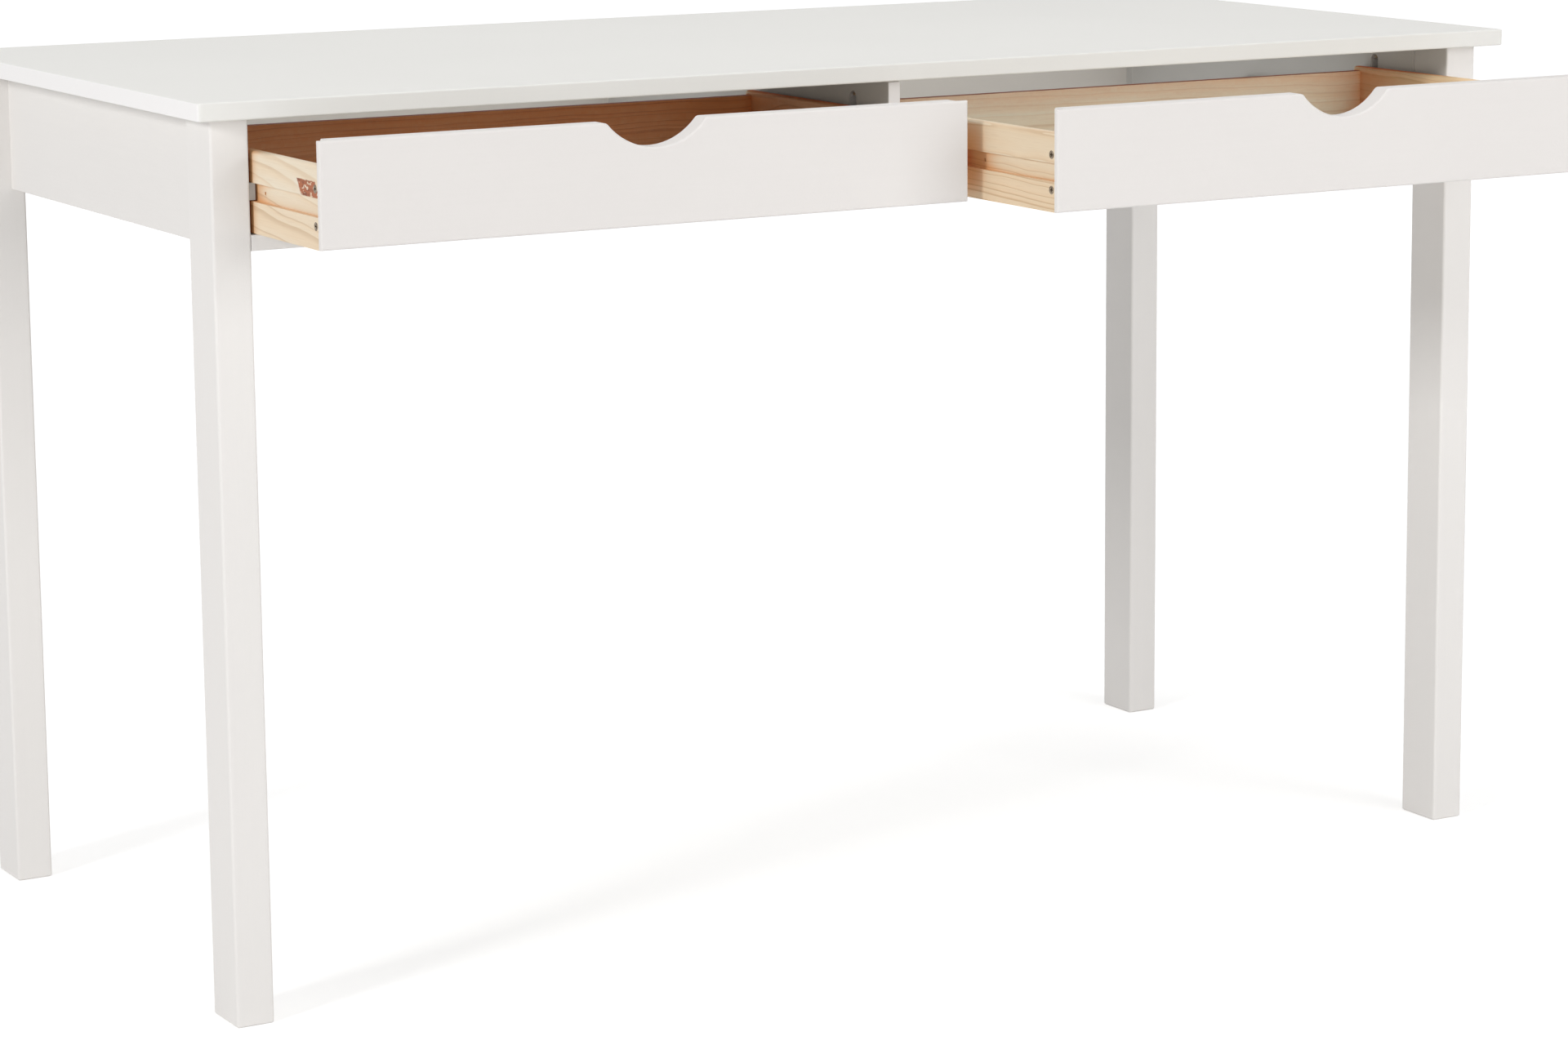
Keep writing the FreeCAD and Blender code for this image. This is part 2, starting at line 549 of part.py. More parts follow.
def drawer(word, x, opening):
    """All pieces of one drawer, whose outer left end is at x."""
    face = f"({LEG_FRONT} - {opening})"
    right_end = f"({x} + {DRAWER_WIDTH})"
    tail = f"({face} + {DRAWER_DEPTH})"
    name = word + "_drawer"
    ends = (("left", x, "+X"), ("right", right_end, "-X"))

    screw_heights = (f"({DRAWER_BOTTOM} + ({PANEL_TOP} + {GROOVE_BOTTOM}) / 2)",
                     f"({DRAWER_BOTTOM} + {GROOVE_TOP} + Sizes.drawer_screw_rise)")
    front_y = f"({face} + Sizes.lip_thickness + Sizes.front_screw_gap)"
    back_y = f"({tail} - Sizes.back_thickness / 2)"
    front_screws = screw_group(name + "_front_screws",
                               [(axis, end, front_y, z) for _, end, axis in ends for z in screw_heights],
                               "Sizes.drawer_screw_length")
    back_screws = screw_group(name + "_back_screws",
                              [(axis, end, back_y, z) for _, end, axis in ends for z in screw_heights],
                              "Sizes.drawer_screw_length")
    nail_z = f"({DRAWER_BOTTOM} + Sizes.panel_offset)"
    nail_xs = (f"({x} + Sizes.side_thickness + Sizes.nail_inset)", f"({x} + {DRAWER_WIDTH} / 2)",
               f"({right_end} - Sizes.side_thickness - Sizes.nail_inset)")
    nail_places = [("+Z", nail_x, back_y, nail_z) for nail_x in nail_xs]
    nails = node(name + "_bottom_nails",
                 headed_group(name + "_bottom_nails", nail_places, "Sizes.nail_diameter",
                              "Sizes.nail_length", "Sizes.nail_head", "Sizes.nail_head_thickness"))

    # Front: full width at the lip, narrower behind it, with a round scoop through the top edge
    inner = "Sizes.side_thickness"
    inner_end = f"({DRAWER_WIDTH} - Sizes.side_thickness)"
    lip = "Sizes.lip_thickness"
    thick = "Sizes.front_thickness"
    plan = [("0", "0"), (DRAWER_WIDTH, "0"), (DRAWER_WIDTH, lip), (inner_end, lip),
            (inner_end, thick), (inner, thick), (inner, lip), ("0", lip)]
    front = padded_body(name + "_front_board", "XY_Plane", plan, FRONT_HEIGHT)
    whole = front.Shape.Volume
    sketch = new_sketch(front, "XZ_Plane")
    middle = f"({DRAWER_WIDTH} / 2)"
    centre_z = f"({FRONT_HEIGHT} + {SCOOP_RADIUS} - Sizes.scoop_depth)"
    sketch.addGeometry(Part.Circle(FreeCAD.Vector(number_of(middle), number_of(centre_z), 0),
                                   FreeCAD.Vector(0, 0, 1), number_of(SCOOP_RADIUS)))
    tie_point(sketch, 0, 3, middle, centre_z)
    radius = sketch.addConstraint(Sketcher.Constraint("Radius", 0, number_of(SCOOP_RADIUS)))
    sketch.renameConstraint(radius, "scoop")
    sketch.setExpression("Constraints.scoop", SCOOP_RADIUS)
    scoop = front.newObject("PartDesign::Pocket", name + "_scoop")
    scoop.Profile = sketch
    scoop.Type = "ThroughAll"
    doc.recompute()
    if front.Shape.Volume >= whole:
        raise RuntimeError(name + ": the scoop cut nothing")
    top_z = number_of(FRONT_HEIGHT)
    half = number_of("Sizes.scoop_width") / 2
    ends_x = [number_of(middle) - half, number_of(middle) + half]
    ease(front, "Fillet", "Sizes.scoop_lip_radius",
         lambda edge: runs_along("+Y")(edge) and any(
             lies_at("x", end)(edge) and lies_at("z", top_z)(edge) for end in ends_x))
    ease(front, "Fillet", "Sizes.front_edge_radius", lies_at("y", 0))
    rear = number_of(thick)
    waist = number_of(GROOVE_TOP)
    ease(front, "Fillet", "Sizes.front_edge_radius",
         lambda edge: lies_at("y", rear)(edge) and edge.BoundBox.ZMin > waist)
    bind(front, x=x, y=face, z=DRAWER_BOTTOM)
    panel_slot = box(name + "_panel_slot", f"({x} + {inner})",
                     f"({face} + {thick} - Sizes.panel_groove_depth)",
                     f"({DRAWER_BOTTOM} + Sizes.panel_offset - Sizes.panel_clearance)",
                     f"({DRAWER_WIDTH} - 2 * {inner})", "Sizes.panel_groove_depth",
                     "(Sizes.panel_thickness + 2 * Sizes.panel_clearance)")
    node(name + "_front", cut(name + "_front", front, [panel_slot, front_screws]))

    # Sides, from the back of the lip to the tail
    for hand, end, axis in ends:
        side_name = f"{name}_{hand}_side"
        board = padded_body(side_name + "_board", "XZ_Plane", side_profile(hand == "left"),
                            f"({DRAWER_DEPTH} - {lip})", reverse=True)
        crown = number_of(SIDE_HEIGHT)
        ease(board, "Fillet", "Sizes.side_top_radius",
             lambda edge: runs_along("+Y")(edge) and lies_at("z", crown)(edge))
        bind(board, x=end if hand == "left" else f"({end} - Sizes.side_thickness)",
             y=f"({face} + {lip})", z=DRAWER_BOTTOM)
        hole_x = along(axis, end, "0", "0", "Sizes.groove_depth")[0]
        hole = cylinder(side_name + "_stop_hole", axis, hole_x, f"({face} + Sizes.stop_hole_setback)",
                        f"({DRAWER_BOTTOM} + {SIDE_HEIGHT} / 2)",
                        "Sizes.stop_hole_diameter", "Sizes.stop_hole_depth")
        node(side_name, cut(side_name, board, [front_screws, back_screws, hole]))

    # Back, standing on the bottom panel between the sides
    back_board = box(name + "_back_board", f"({x} + {inner})", f"({tail} - Sizes.back_thickness)",
                     f"({DRAWER_BOTTOM} + {PANEL_TOP})", f"({DRAWER_WIDTH} - 2 * {inner})",
                     "Sizes.back_thickness", f"({SIDE_HEIGHT} - Sizes.back_drop - {PANEL_TOP})")
    node(name + "_back", cut(name + "_back", back_board, [back_screws, nails]))

    # Bottom panel, in the grooves of the sides and the front
    reach = "(Sizes.panel_groove_depth - Sizes.panel_clearance)"
    panel = box(name + "_panel", f"({x} + {inner} - {reach})", f"({face} + {thick} - {reach})",
                f"({DRAWER_BOTTOM} + Sizes.panel_offset)",
                f"({DRAWER_WIDTH} - 2 * {inner} + 2 * {reach})",
                f"({DRAWER_DEPTH} - {thick} + {reach})", "Sizes.panel_thickness")
    node(name + "_bottom", cut(name + "_bottom", panel, [nails]))


drawer("left", f"(Sizes.drawer_side_gap - {LEG_IN})", "Sizes.drawer_left_opening")
drawer("right", f"({DIVIDER_FACE} + Sizes.drawer_side_gap)", "Sizes.drawer_right_opening")

doc.recompute()
for thing in doc.Objects:
    if "Invalid" in thing.State or "Error" in thing.State:
        raise RuntimeError(f"{thing.Label} failed: {thing.State}")
for thing in nodes:
    if thing.Shape.isNull() or not thing.Shape.isValid():
        raise RuntimeError(f"{thing.Label} has no valid shape")

os.makedirs("parts", exist_ok=True)
for thing in nodes:
    thing.Shape.exportStep(os.path.join("parts", thing.Label + ".step"))
    print(thing.Label, len(thing.Shape.Solids), round(thing.Shape.Volume))
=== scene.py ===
"""Finishes and studio for a white painted writing desk with two pine drawers.

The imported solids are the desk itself. This file gives each of them its finish: paint over wood,
bare pine, fibre panel, beech and zinc. It also sets up the floor, the light and the camera.
"""

import math
from collections import namedtuple

import bpy
import numpy as np
from bpy.props import FloatProperty, FloatVectorProperty, PointerProperty
from mathutils import Matrix, Vector


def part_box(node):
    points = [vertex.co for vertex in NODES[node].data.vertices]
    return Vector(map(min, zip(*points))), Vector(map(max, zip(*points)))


bl_info = {
    "name": "Painted desk finishes",
    "version": (1, 0, 0),
    "blender": (4, 5, 0),
    "location": "View3D > Sidebar > Desk",
    "description": "Paint, pine, metal and studio for a writing desk with two drawers",
    "category": "3D View",
}

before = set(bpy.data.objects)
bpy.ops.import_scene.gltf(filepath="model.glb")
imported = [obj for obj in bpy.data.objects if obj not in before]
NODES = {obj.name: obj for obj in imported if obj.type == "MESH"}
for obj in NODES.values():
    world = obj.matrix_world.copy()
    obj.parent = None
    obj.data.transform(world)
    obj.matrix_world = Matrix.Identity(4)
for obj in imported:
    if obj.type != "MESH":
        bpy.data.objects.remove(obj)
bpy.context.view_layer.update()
DRAWERS = ("left_drawer", "right_drawer")

# Ways that a face can look
LEFT = (-1, 0, 0)
RIGHT = (1, 0, 0)
FRONT = (0, -1, 0)
UP = (0, 0, 1)

# The sRGB curve: a straight part below a knee and a power above it
SRGB_KNEE = 0.04045
SRGB_SLOPE = 12.92
SRGB_OFFSET = 0.055
SRGB_POWER = 2.4


def linear(red, green, blue):
    """Linear colour of an sRGB colour given from 0 to 255: the sRGB curve undone on each channel."""
    share = np.array((red, green, blue)) / 255
    curved = ((share + SRGB_OFFSET) / (1 + SRGB_OFFSET)) ** SRGB_POWER
    return tuple(np.where(share <= SRGB_KNEE, share / SRGB_SLOPE, curved).tolist())


def colour_property(name, description, default):
    return FloatVectorProperty(name=name, description=description, default=default, subtype="COLOR",
                               size=3, min=0.0, max=1.0)


def share_property(name, description, default):
    return FloatProperty(name=name, description=description, default=default, subtype="FACTOR",
                         min=0.0, max=1.0)


def length_property(name, description, default, least=0.0):
    return FloatProperty(name=name, description=description, default=default, unit="LENGTH", min=least)


def power_property(name, description, default):
    return FloatProperty(name=name, description=description, default=default, unit="POWER", min=0.0)


class DeskPaint(bpy.types.PropertyGroup):
    """White paint of the carcass and the drawer fronts."""

    body: colour_property("Body paint", "Paint of legs, aprons and rails", linear(238, 235, 232))
    # Painted shade: the fronts take a darker copy of the body paint, to offset the strong light on them.
    front: colour_property("Front paint", "Paint of the drawer fronts", linear(231, 227, 224))
    top: colour_property("Top paint", "Paint of the table top", linear(236, 235, 231))
    # Painted light: the ends of the top and the front edge of the divider are made whiter to stand in for
    # the light on them, not a sealing layer.
    ends: colour_property("End coat", "Whiter coat that seals the ends of the top and of the divider",
                          linear(250, 248, 247))
    # Painted shade: faces inside the carcass, and the runners, are made grey to stand in for their shade.
    inner_painted_shade: colour_property("Primer", "Grey primer left on faces inside the carcass",
                            linear(203, 201, 197))
    # Painted shade: the back rail's face towards the front, under the top, is made darker to stand in for
    # its shade, not a thin layer of paint.
    thin: colour_property("Thin coat", "Thin coat on the back rail's inner face", linear(225, 220, 213))
    bare: colour_property("Thin paint", "Tone where the paint is thin on an arris",
                          linear(219, 207, 192))
    rub: share_property("Rub", "How far the thin tone covers a worn arris", 0.35)
    roughness: share_property("Roughness", "Base roughness of the satin paint", 0.5)
    gloss: share_property("Gloss", "Specular level of the satin paint", 0.22)
    stipple: length_property("Stipple", "Height of the roller's stipple", 0.00012)


class DeskPine(bpy.types.PropertyGroup):
    """Bare pine of the drawer boxes."""

    early: colour_property("Early wood", "Pale wood of a year's ring", linear(240, 226, 202))
    mid: colour_property("Mid wood", "Warmer wood before the late line", linear(237, 209, 173))
    late: colour_property("Late wood", "Thin dark line that ends a ring", linear(188, 152, 110))
    knot: colour_property("Knot", "Heart of a knot", linear(170, 98, 62))
    # Painted shade: the upward face of a drawer back's top edge, under the table top, is darkened to stand
    # in for its shade, not a rough sawn edge.
    sawn: colour_property("Sawn edge", "Tone of the rough upper edge of a drawer back",
                          (0.45, 0.27, 0.16))
    # Painted shade: the wood far inside the desk is darkened to stand in for its shade.
    nook_shade: colour_property("Nook", "Tone that deepens the wood far inside the desk", (0.82, 0.32, 0.10))
    # Painted shade: the wood in narrow spaces and corners is warmed and darkened to stand in for its shade.
    gap: colour_property("Gap", "Tone that warms the wood in narrow gaps and corners",
                         (1.0, 0.62, 0.36))
    bounce: colour_property("Bounce", "Tone of the light that pine throws on what is near it",
                            linear(241, 236, 230))
    throw: share_property("Throw", "How far thrown light takes that tone", 0.75)
    ring: length_property("Ring width", "Wood grown in a year", 0.0055, least=0.0005)
    relief: length_property("Relief", "Height of the sawn grain", 0.00012)


class DeskFittings(bpy.types.PropertyGroup):
    """Bottom panels, fasteners and dowels."""

    panel_ground: colour_property("Panel", "Ground of the fibre panel", linear(243, 232, 214))
    panel_fibre: colour_property("Panel fibre", "Fibres of the panel", linear(226, 208, 180))
    panel_relief: length_property("Panel relief", "Height of the panel's fibres", 0.0001)
    zinc_bright: colour_property("Bright zinc", "Clean plating of screws and nails",
                                 linear(170, 156, 138))
    zinc_dull: colour_property("Dull zinc", "Dull plating of screws and nails", linear(112, 98, 82))
    zinc_relief: length_property("Zinc relief", "Depth of scratches in the plating", 0.00003)
    cast_bright: colour_property("Bright cast", "Clean zinc of a cam", linear(150, 150, 148))
    cast_dull: colour_property("Dull cast", "Dull zinc of a cam", linear(108, 108, 106))
    cast_relief: length_property("Cast relief", "Depth of scratches in a cam", 0.00006)
    beech_early: colour_property("Beech early", "Pale wood of a dowel", linear(226, 192, 150))
    beech_mid: colour_property("Beech mid", "Warmer wood of a dowel", linear(216, 178, 134))
    beech_late: colour_property("Beech late", "Dark lines of a dowel", linear(198, 156, 112))
    beech_heart: colour_property("Beech heart", "Streaks of a dowel", linear(150, 104, 70))
    beech_ring: length_property("Beech ring", "Wood grown in a year", 0.0016, least=0.0005)
    beech_relief: length_property("Beech relief", "Height of a dowel's grain", 0.0001)


class DeskStage(bpy.types.PropertyGroup):
    """Floor, light and camera."""

    floor: colour_property("Floor", "Pale studio floor", linear(246, 246, 246))
    sky: FloatProperty(name="Sky", description="Strength of the even light from all round", default=0.43,
                       min=0.0)
    key: power_property("Key", "Power of the soft lamp at the left", 131.0)
    fill: power_property("Fill", "Power of the soft lamp at the front right", 48.0)
    ahead: power_property("Ahead", "Power of the soft lamp straight ahead of the drawers", 29.0)
    overhead: power_property("Overhead", "Power of the soft lamp over the top", 29.0)
    lens: FloatProperty(name="Lens", description="Focal length on a 36 mm sensor", default=98.63,
                        min=1.0, unit="CAMERA")


class Tree:
    """A node tree with short ways to add nodes and link them."""

    def __init__(self, tree):
        self.tree = tree

    def add(self, kind, inputs=(), **settings):
        """Node of a kind; a value for an input is a number, a tuple or another node's output."""
        node = self.tree.nodes.new(kind)
        for name, value in settings.items():
            setattr(node, name, value)
        for key, value in dict(inputs).items():
            self.feed(node.inputs[key], value)
        return node

    def feed(self, socket, value):
        if isinstance(value, bpy.types.NodeSocket):
            self.tree.links.new(value, socket)
        elif socket.type == "RGBA" and len(value) == 3:
            socket.default_value = (*value, 1.0)
        else:
            socket.default_value = value

    def math(self, operation, first, second=0.0, third=0.0):
        node = self.add("ShaderNodeMath", {0: first, 1: second, 2: third}, operation=operation)
        return node.outputs[0]

    def vector(self, operation, first, second=(0.0, 0.0, 0.0)):
        node = self.add("ShaderNodeVectorMath", {0: first, 1: second}, operation=operation)
        return node.outputs["Value" if operation in ("LENGTH", "DOT_PRODUCT") else "Vector"]

    def scaled(self, vector, share):
        node = self.add("ShaderNodeVectorMath", {0: vector, "Scale": share}, operation="SCALE")
        return node.outputs["Vector"]

    def parts(self, vector):
        """The three parts of a vector."""
        return self.add("ShaderNodeSeparateXYZ", {0: vector}).outputs

    def far(self, first, second):
        """Length of a vector in a plane, from its two parts."""
        flat = self.add("ShaderNodeCombineXYZ", {0: first, 1: second}).outputs[0]
        return self.vector("LENGTH", flat)

    def noise(self, vector, repeats, detail=2.0, roughness=0.5, colour=False):
        """Noise that is alike in all directions."""
        node = self.add("ShaderNodeTexNoise", {"Vector": vector, "Scale": repeats, "Detail": detail,
                                               "Roughness": roughness})
        return node.outputs["Color" if colour else "Fac"]

    def streaks(self, vector, repeats, detail=2.0, roughness=0.5):
        """Noise drawn out along X, from its repeats along X and across it."""
        along, across = repeats
        drawn = self.vector("MULTIPLY", vector, (along, across, across))
        return self.noise(drawn, 1.0, detail, roughness)

    def step(self, value, low, high, start=0.0, end=1.0):
        """Smooth step from start at low to end at high."""
        node = self.add("ShaderNodeMapRange", {"Value": value, "From Min": low, "From Max": high,
                                               "To Min": start, "To Max": end},
                        interpolation_type="SMOOTHSTEP")
        return node.outputs["Result"]

    def facing(self, way, low, high):
        """Smooth step of how far a face looks a way."""
        face = self.add("ShaderNodeTexCoord").outputs["Normal"]
        return self.step(self.vector("DOT_PRODUCT", face, way), low, high)

    def mix(self, share, first, second, blend="MIX"):
        node = self.add("ShaderNodeMix", data_type="RGBA", blend_type=blend)
        for name, value in (("Factor_Float", share), ("A_Color", first), ("B_Color", second)):
            self.feed(next(s for s in node.inputs if s.identifier == name), value)
        return next(s for s in node.outputs if s.identifier == "Result_Color")

    def multiplied(self, colour, tone):
        """Colour times a tone."""
        return self.mix(1.0, colour, tone, "MULTIPLY")


def new_group(name, inputs, outputs):
    """Shader node group with named sockets; gives its tree, its inputs and its outputs."""
    kinds = {"vector": "NodeSocketVector", "value": "NodeSocketFloat", "colour": "NodeSocketColor"}
    tree = bpy.data.node_groups.new(name, "ShaderNodeTree")
    for label, kind, default in inputs:
        socket = tree.interface.new_socket(label, in_out="INPUT", socket_type=kinds[kind])
        socket.default_value = (*default, 1.0) if kind == "colour" else default
    for label, kind in outputs:
        tree.interface.new_socket(label, in_out="OUTPUT", socket_type=kinds[kind])
    given = tree.nodes.new("NodeGroupInput").outputs
    made = tree.nodes.new("NodeGroupOutput").inputs
    return Tree(tree), given, made


# Defaults of the groups' sockets, and what every finish gives
ORIGIN = (0, 0, 0)
WHITE = (1, 1, 1)
FINISH = (("Color", "colour"), ("Roughness", "value"), ("Height", "value"))

# Patterns in repeats a metre; a pair is along the grain and across it
ARRIS_SPOTS = 38.0
PAINT_DRIFT = 3.1
PAINT_FIBRES = (9.0, 420.0)
PAINT_STIPPLE = 720.0
PAINT_NICKS = 9.0
PINE_SLOW_BEND = (6.0, 16.0)
PINE_QUICK_BEND = (26.0, 70.0)
PINE_LINES = (5.0, 40.0)
PINE_FIBRES = (26.0, 1100.0)
PINE_RESIN = (42.0, 1700.0)
PINE_BANDS = (4.0, 45.0)
KNOT_OUTLINE = 160.0
SPIKE_OUTLINE = 300.0
SPIKE_SWIRLS = (130.0, 300.0)
SPIKE_FLECKS = (200.0, 330.0)
PANEL_FIBRES = (90.0, 900.0)
PANEL_CLOUDS = 24.0
METAL_CLOUDS = 420.0
METAL_SCRATCHES = (300.0, 5200.0)

# Turns of a panel's two sets of fibres, in radians
PANEL_TURNS = (0.4, -0.7)

# Tone of a spike knot's swirls, and the pale wood at its inner end
SPIKE_SWIRL_TONE = (0.5, 0.44, 0.4)
SPIKE_HALO = (0.86, 0.80, 0.72)


def edge_group():
    """Arris mask: one less the agreement of the true normal with one rounded over a radius, spotted
    by noise, so that it is 0 on flats and rises along edges."""
    tree, given, made = new_group(
        "arris_rub", (("Vector", "vector", ORIGIN), ("Radius", "value", 0.002)), (("Mask", "value"),))
    rounded = tree.add("ShaderNodeBevel", {"Radius": given["Radius"]}, samples=4).outputs["Normal"]
    flat = tree.add("ShaderNodeNewGeometry").outputs["Normal"]
    bend = tree.math("SUBTRACT", 1.0, tree.vector("DOT_PRODUCT", rounded, flat))
    spots = tree.step(tree.noise(given["Vector"], ARRIS_SPOTS, 4.0, 0.6), 0.42, 0.66)
    tree.feed(made["Mask"], tree.math("MULTIPLY", tree.step(bend, 0.02, 0.22), spots))
    return tree.tree


def paint_group():
    """Satin paint over wood whose grain runs along X: the tint drifts slowly from place to place,
    fibres show faintly through it as long streaks, a roller leaves a fine stipple, and here and
    there is a small nick."""
    tree, given, made = new_group(
        "satin_paint",
        (("Vector", "vector", ORIGIN), ("Tint", "colour", WHITE), ("Base Roughness", "value", 0.5)),
        FINISH)
    place = given["Vector"]
    drift = tree.noise(place, PAINT_DRIFT)
    fibres = tree.streaks(place, PAINT_FIBRES, 3.0, 0.6)
    stipple = tree.noise(place, PAINT_STIPPLE, 2.0, 0.55)
    cells = tree.add("ShaderNodeTexVoronoi", {"Vector": place, "Scale": PAINT_NICKS}).outputs
    lot = tree.add("ShaderNodeSeparateColor", {0: cells["Color"]}).outputs[0]
    nick = tree.math("MULTIPLY", tree.step(cells["Distance"], 0.005, 0.013, 1.0, 0.0),
                     tree.math("GREATER_THAN", lot, 0.6))
    shade = tree.math("ADD", tree.step(drift, 0.25, 0.75, 0.982, 1.0),
                      tree.step(fibres, 0.3, 0.75, 0.002, -0.004))
    shade = tree.math("MULTIPLY_ADD", nick, -0.1, shade)
    tree.feed(made["Color"], tree.scaled(given["Tint"], shade))
    tree.feed(made["Roughness"], tree.math("ADD", given["Base Roughness"],
                                           tree.step(stipple, 0.25, 0.75, -0.05, 0.06)))
    height = tree.math("ADD", tree.math("MULTIPLY", stipple, 0.7), tree.math("MULTIPLY", fibres, 0.25))
    tree.feed(made["Height"], tree.math("MULTIPLY_ADD", nick, -1.5, height))
    return tree.tree


def pine_group():
    """Pine sawn from a round log whose grain runs along X: a year's ring is the distance from the pith
    over the ring's width, bent by slow noise. It warms from early to mid wood and ends in a thin late
    line. Fibres and resin streaks run along the grain, and round a knot the rings swell and the
    knot's own rings show."""
    tree, given, made = new_group(
        "sawn_pine",
        (("Vector", "vector", ORIGIN), ("Pith", "vector", (0, -0.04, 0)), ("Lean", "value", 0.03),
         ("Ring", "value", 0.005), ("Waver", "value", 0.008), ("Line", "value", 0.5),
         ("Early", "colour", WHITE), ("Mid", "colour", WHITE), ("Late", "colour", WHITE),
         ("Heart", "colour", WHITE), ("Knot", "vector", (9, 9, 9)), ("Knot Size", "value", 0.006)),
        FINISH)
    place = given["Vector"]
    grain = tree.parts(place)
    knot = tree.parts(given["Knot"])
    pith = tree.parts(given["Pith"])

    # Distance from the knot, in its own sizes; the knot is drawn out along the grain
    ragged = tree.math("MULTIPLY_ADD", tree.noise(place, KNOT_OUTLINE, 3.0), 0.5, -0.25)
    knot_x = tree.math("DIVIDE", tree.math("SUBTRACT", grain["X"], knot["X"]),
                       tree.math("MULTIPLY", given["Knot Size"], 1.5))
    knot_z = tree.math("DIVIDE", tree.math("SUBTRACT", grain["Z"], knot["Z"]), given["Knot Size"])
    knot_far = tree.math("ADD", tree.far(knot_x, knot_z), ragged)
    swell = tree.math("MULTIPLY", given["Knot Size"], tree.step(knot_far, 0.3, 3.6, 1.5, 0.0))

    # Distance from the pith, and the season within a year
    lean = tree.math("MULTIPLY", grain["X"], given["Lean"])
    rise = tree.math("SUBTRACT", tree.math("SUBTRACT", grain["Z"], pith["Z"]), lean)
    far = tree.far(tree.math("SUBTRACT", grain["Y"], pith["Y"]), rise)
    for bend, strength in ((PINE_SLOW_BEND, 2.0), (PINE_QUICK_BEND, 0.3)):
        sway = tree.math("SUBTRACT", tree.streaks(place, bend), 0.5)
        far = tree.math("MULTIPLY_ADD", sway, tree.math("MULTIPLY", given["Waver"], strength), far)
    years = tree.math("DIVIDE", tree.math("ADD", far, swell), given["Ring"])
    uneven = tree.add("ShaderNodeTexNoise", {"W": years, "Scale": 0.7, "Detail": 1.0},
                      noise_dimensions="1D").outputs["Fac"]
    season = tree.math("FRACT", tree.math("MULTIPLY_ADD", uneven, 1.6, years))
    ends = tree.step(season, 0.955, 1.0, 1.0, 0.0)
    strong = tree.math("MULTIPLY", tree.step(tree.streaks(place, PINE_LINES), 0.3, 0.7, 0.3, 1.0),
                       given["Line"])
    warm = tree.math("MULTIPLY", tree.step(season, 0.1, 0.9), ends)
    line = tree.math("MULTIPLY", tree.math("MULTIPLY", tree.step(season, 0.7, 0.93), ends), strong)

    # Fibres, resin streaks and broad bands along the grain
    fibre = tree.streaks(place, PINE_FIBRES, 3.0, 0.65)
    resin = tree.step(tree.streaks(place, PINE_RESIN, 1.0), 0.66, 0.76)
    broad = tree.streaks(place, PINE_BANDS)
    colour = tree.mix(tree.math("MULTIPLY", warm, given["Line"]), given["Early"], given["Mid"])
    colour = tree.mix(tree.step(broad, 0.35, 0.7, 0.0, 0.45), colour, given["Mid"])
    colour = tree.mix(line, colour, given["Late"])
    colour = tree.mix(tree.step(fibre, 0.35, 0.8, 0.0, 0.10), colour, given["Late"])
    colour = tree.mix(tree.math("MULTIPLY", resin, 0.12), colour, given["Heart"])

    # The knot: a dark rim, and a core with rings of its own
    core = tree.step(knot_far, 0.8, 1.05, 1.0, 0.0)
    rim = tree.math("MULTIPLY", tree.step(knot_far, 0.75, 1.0), tree.step(knot_far, 1.0, 1.6, 1.0, 0.0))
    turns = tree.math("FRACT", tree.math("MULTIPLY", knot_far, 3.5))
    heart = tree.mix(tree.step(turns, 0.2, 0.9, 0.0, 0.5), given["Heart"], given["Late"])
    colour = tree.mix(tree.math("MULTIPLY", rim, 0.5), colour, given["Heart"])
    tree.feed(made["Color"], tree.mix(core, colour, heart))
    tree.feed(made["Roughness"], tree.math("MULTIPLY_ADD", line, -0.06,
                                           tree.step(fibre, 0.2, 0.8, 0.5, 0.62)))
    tree.feed(made["Height"], tree.math("MULTIPLY_ADD", line, 0.6, tree.math("MULTIPLY", fibre, 0.8)))
    return tree.tree


def spike_group():
    """Spike knot cut lengthwise at the skin of a board: a slanted block in the board's X and Z, red
    brown with dark swirls and pale flecks, and a pale halo at its inner end."""
    tree, given, made = new_group(
        "spike_knot",
        (("Vector", "vector", ORIGIN), ("Color", "colour", WHITE), ("Heart", "colour", WHITE),
         ("Place", "vector", ORIGIN), ("Size", "vector", (0.02, 0.002, 0.006)), ("Slant", "value", 0.0)),
        (("Color", "colour"),))
    place = given["Vector"]
    ragged = tree.vector("SUBTRACT", tree.noise(place, SPIKE_OUTLINE, colour=True), (0.5, 0.5, 0.5))
    bent = tree.vector("ADD", place, tree.vector("MULTIPLY", ragged, (0.002, 0.0, 0.001)))
    spot = tree.parts(tree.vector("DIVIDE", tree.vector("SUBTRACT", bent, given["Place"]), given["Size"]))
    along = tree.math("MULTIPLY_ADD", spot["Z"], given["Slant"], spot["X"])
    across = tree.math("ABSOLUTE", spot["Z"])
    skin = tree.step(tree.math("ABSOLUTE", spot["Y"]), 0.9, 1.0, 1.0, 0.0)
    block = tree.math("MAXIMUM", tree.math("ABSOLUTE", along), across)
    inside = tree.math("MULTIPLY", tree.step(block, 0.9, 1.0, 1.0, 0.0), skin)
    near = tree.math("MULTIPLY", tree.step(along, 0.8, 1.6, 1.0, 0.0),
                     tree.step(across, 0.7, 1.1, 1.0, 0.0))
    near = tree.math("MULTIPLY", tree.math("MULTIPLY", near, tree.step(along, 0.9, 1.0)), skin)
    swirls = tree.streaks(place, SPIKE_SWIRLS, 4.0, 0.6)
    flecks = tree.step(tree.streaks(place, SPIKE_FLECKS), 0.57, 0.66)
    dark = tree.mix(tree.step(swirls, 0.42, 0.62), given["Heart"],
                    tree.multiplied(given["Heart"], SPIKE_SWIRL_TONE))
    dark = tree.mix(tree.math("MULTIPLY", flecks, 0.8), dark, given["Color"])
    halo = tree.mix(tree.math("MULTIPLY", near, 0.35), given["Color"], SPIKE_HALO)
    tree.feed(made["Color"], tree.mix(inside, halo, dark))
    return tree.tree


